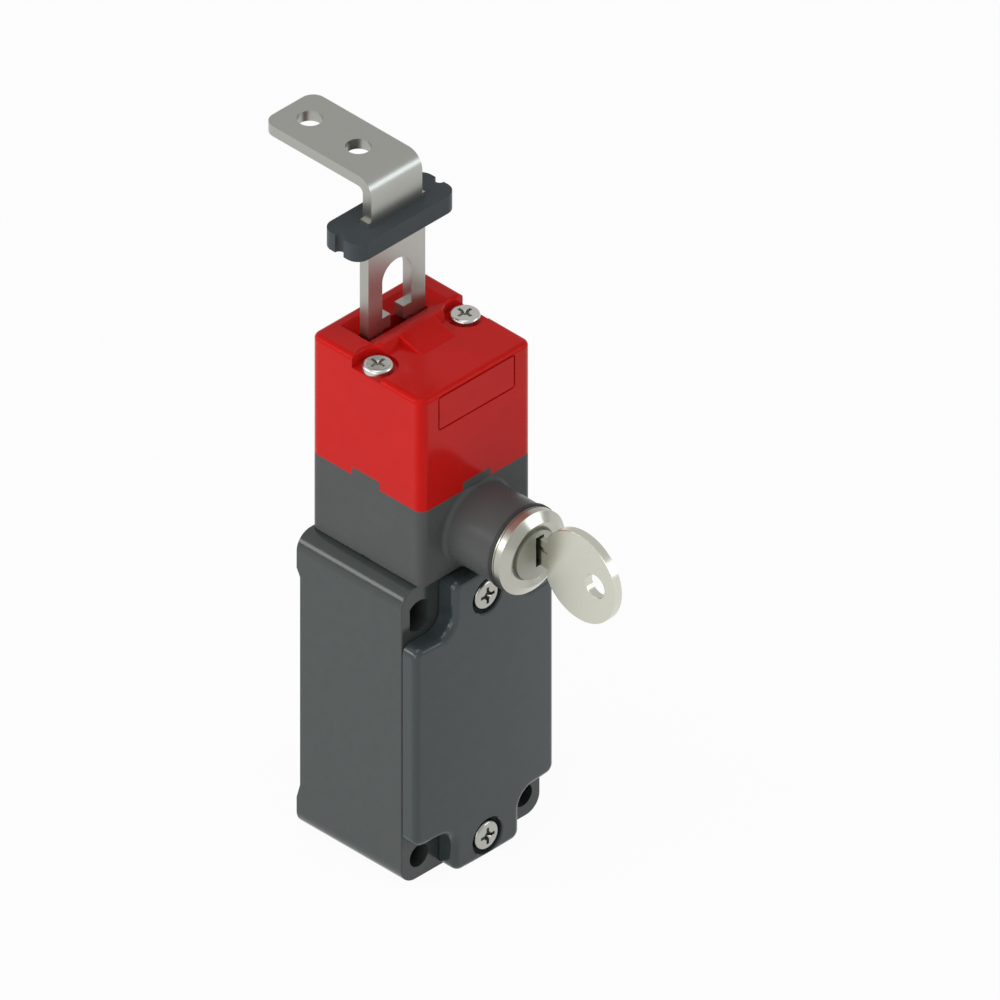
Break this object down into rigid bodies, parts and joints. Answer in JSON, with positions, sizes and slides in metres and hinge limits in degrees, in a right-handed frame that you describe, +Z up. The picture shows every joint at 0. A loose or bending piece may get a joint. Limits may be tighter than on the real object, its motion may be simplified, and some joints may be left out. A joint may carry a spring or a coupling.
{
  "type": "safety interlock switch",
  "caption": "key-locked safety interlock switch: die-cast body with cover, turnable head with slot and lock, and its bent forked actuator",
  "frame": {"origin": "centre of the cable entry in the plane of the body's lower end, under the middle of the head", "axes": "+X right along the front, +Y towards the mounting surface at the back, +Z up towards the head"},
  "size_m": [0.04, 0.0947, 0.159],
  "materials": {
    "casing_paint": "die-cast aluminium, dark grey powder coat, fine satin",
    "red_plastic": "red moulded plastic, satin gloss",
    "grey_plastic": "dark warm grey moulded plastic",
    "collar_plastic": "dark blue-grey moulded plastic",
    "white_plastic": "natural acetal",
    "block_plastic": "black moulded plastic",
    "red_inner_plastic": "red moulded plastic",
    "stainless": "brushed stainless steel",
    "zinc_steel": "bright zinc-plated steel",
    "spring_steel": "drawn spring steel",
    "key_steel": "satin nickel-plated steel",
    "lock_nickel": "turned, satin nickel plating",
    "silvered_brass": "brass strip with silver contacts",
    "black_rubber": "black rubber"
  },
  "bodies": {
    "switch": {"body_casing": "casing_paint", "front_cover": "casing_paint", "cover_gasket": "black_rubber", "cover_screws": "zinc_steel", "head_base": "grey_plastic", "head_cap": "red_plastic", "head_screws": "zinc_steel", "cam_axle": "stainless", "plunger_spring": "spring_steel", "plunger_seal": "black_rubber", "contact_block": "block_plastic", "fixed_contacts": "silvered_brass", "terminal_screws": "zinc_steel", "block_screws": "zinc_steel", "earth_screw": "zinc_steel", "lock_barrel": "lock_nickel", "bezel_ring": "black_rubber", "lock_nut": "zinc_steel"},
    "actuator": {"actuator_blade": "stainless", "actuator_collar": "collar_plastic"},
    "cam": {"cam_drum": "white_plastic", "locking_cam": "stainless"},
    "plunger": {"head_plunger": "white_plastic", "contact_carrier": "red_inner_plastic", "contact_bridges": "silvered_brass"},
    "lock_core": {"lock_plug": "lock_nickel", "lock_tail": "zinc_steel"},
    "bolt": {"lock_bolt": "stainless"},
    "key": {"lock_key": "key_steel"}
  },
  "joints": [
    {"name": "actuator_slide", "type": "slide", "parent": "switch", "child": "actuator", "axis": [0, 0, 1], "range_m": [-0.022, 0.006]},
    {"name": "cam_turn", "type": "hinge", "parent": "switch", "child": "cam", "pos_m": [0, 0, 0.1072], "axis": [1, 0, 0], "range_deg": [-123.21, 33.61]},
    {"name": "plunger_slide", "type": "slide", "parent": "switch", "child": "plunger", "axis": [0, 0, 1], "range_m": [-0.00064, 0.00236], "deforming": ["plunger_spring"]},
    {"name": "lock_turn", "type": "hinge", "parent": "switch", "child": "lock_core", "pos_m": [0, -0.0332, 0.0825], "axis": [0, 1, 0], "range_deg": [0, 90]},
    {"name": "bolt_slide", "type": "slide", "parent": "switch", "child": "bolt", "axis": [0, 0, 1], "range_m": [0, 0.004]},
    {"name": "key_pull", "type": "slide", "parent": "lock_core", "child": "key", "axis": [0, -1, 0], "range_m": [0, 0.022]}
  ],
  "couplings": [
    {"joint": "cam_turn", "follows": "actuator_slide", "rad_per_m": 97.738},
    {"joint": "plunger_slide", "follows": "actuator_slide", "ratio": -0.10714},
    {"joint": "bolt_slide", "follows": "lock_turn", "m_per_rad": 0.0025465}
  ]
}
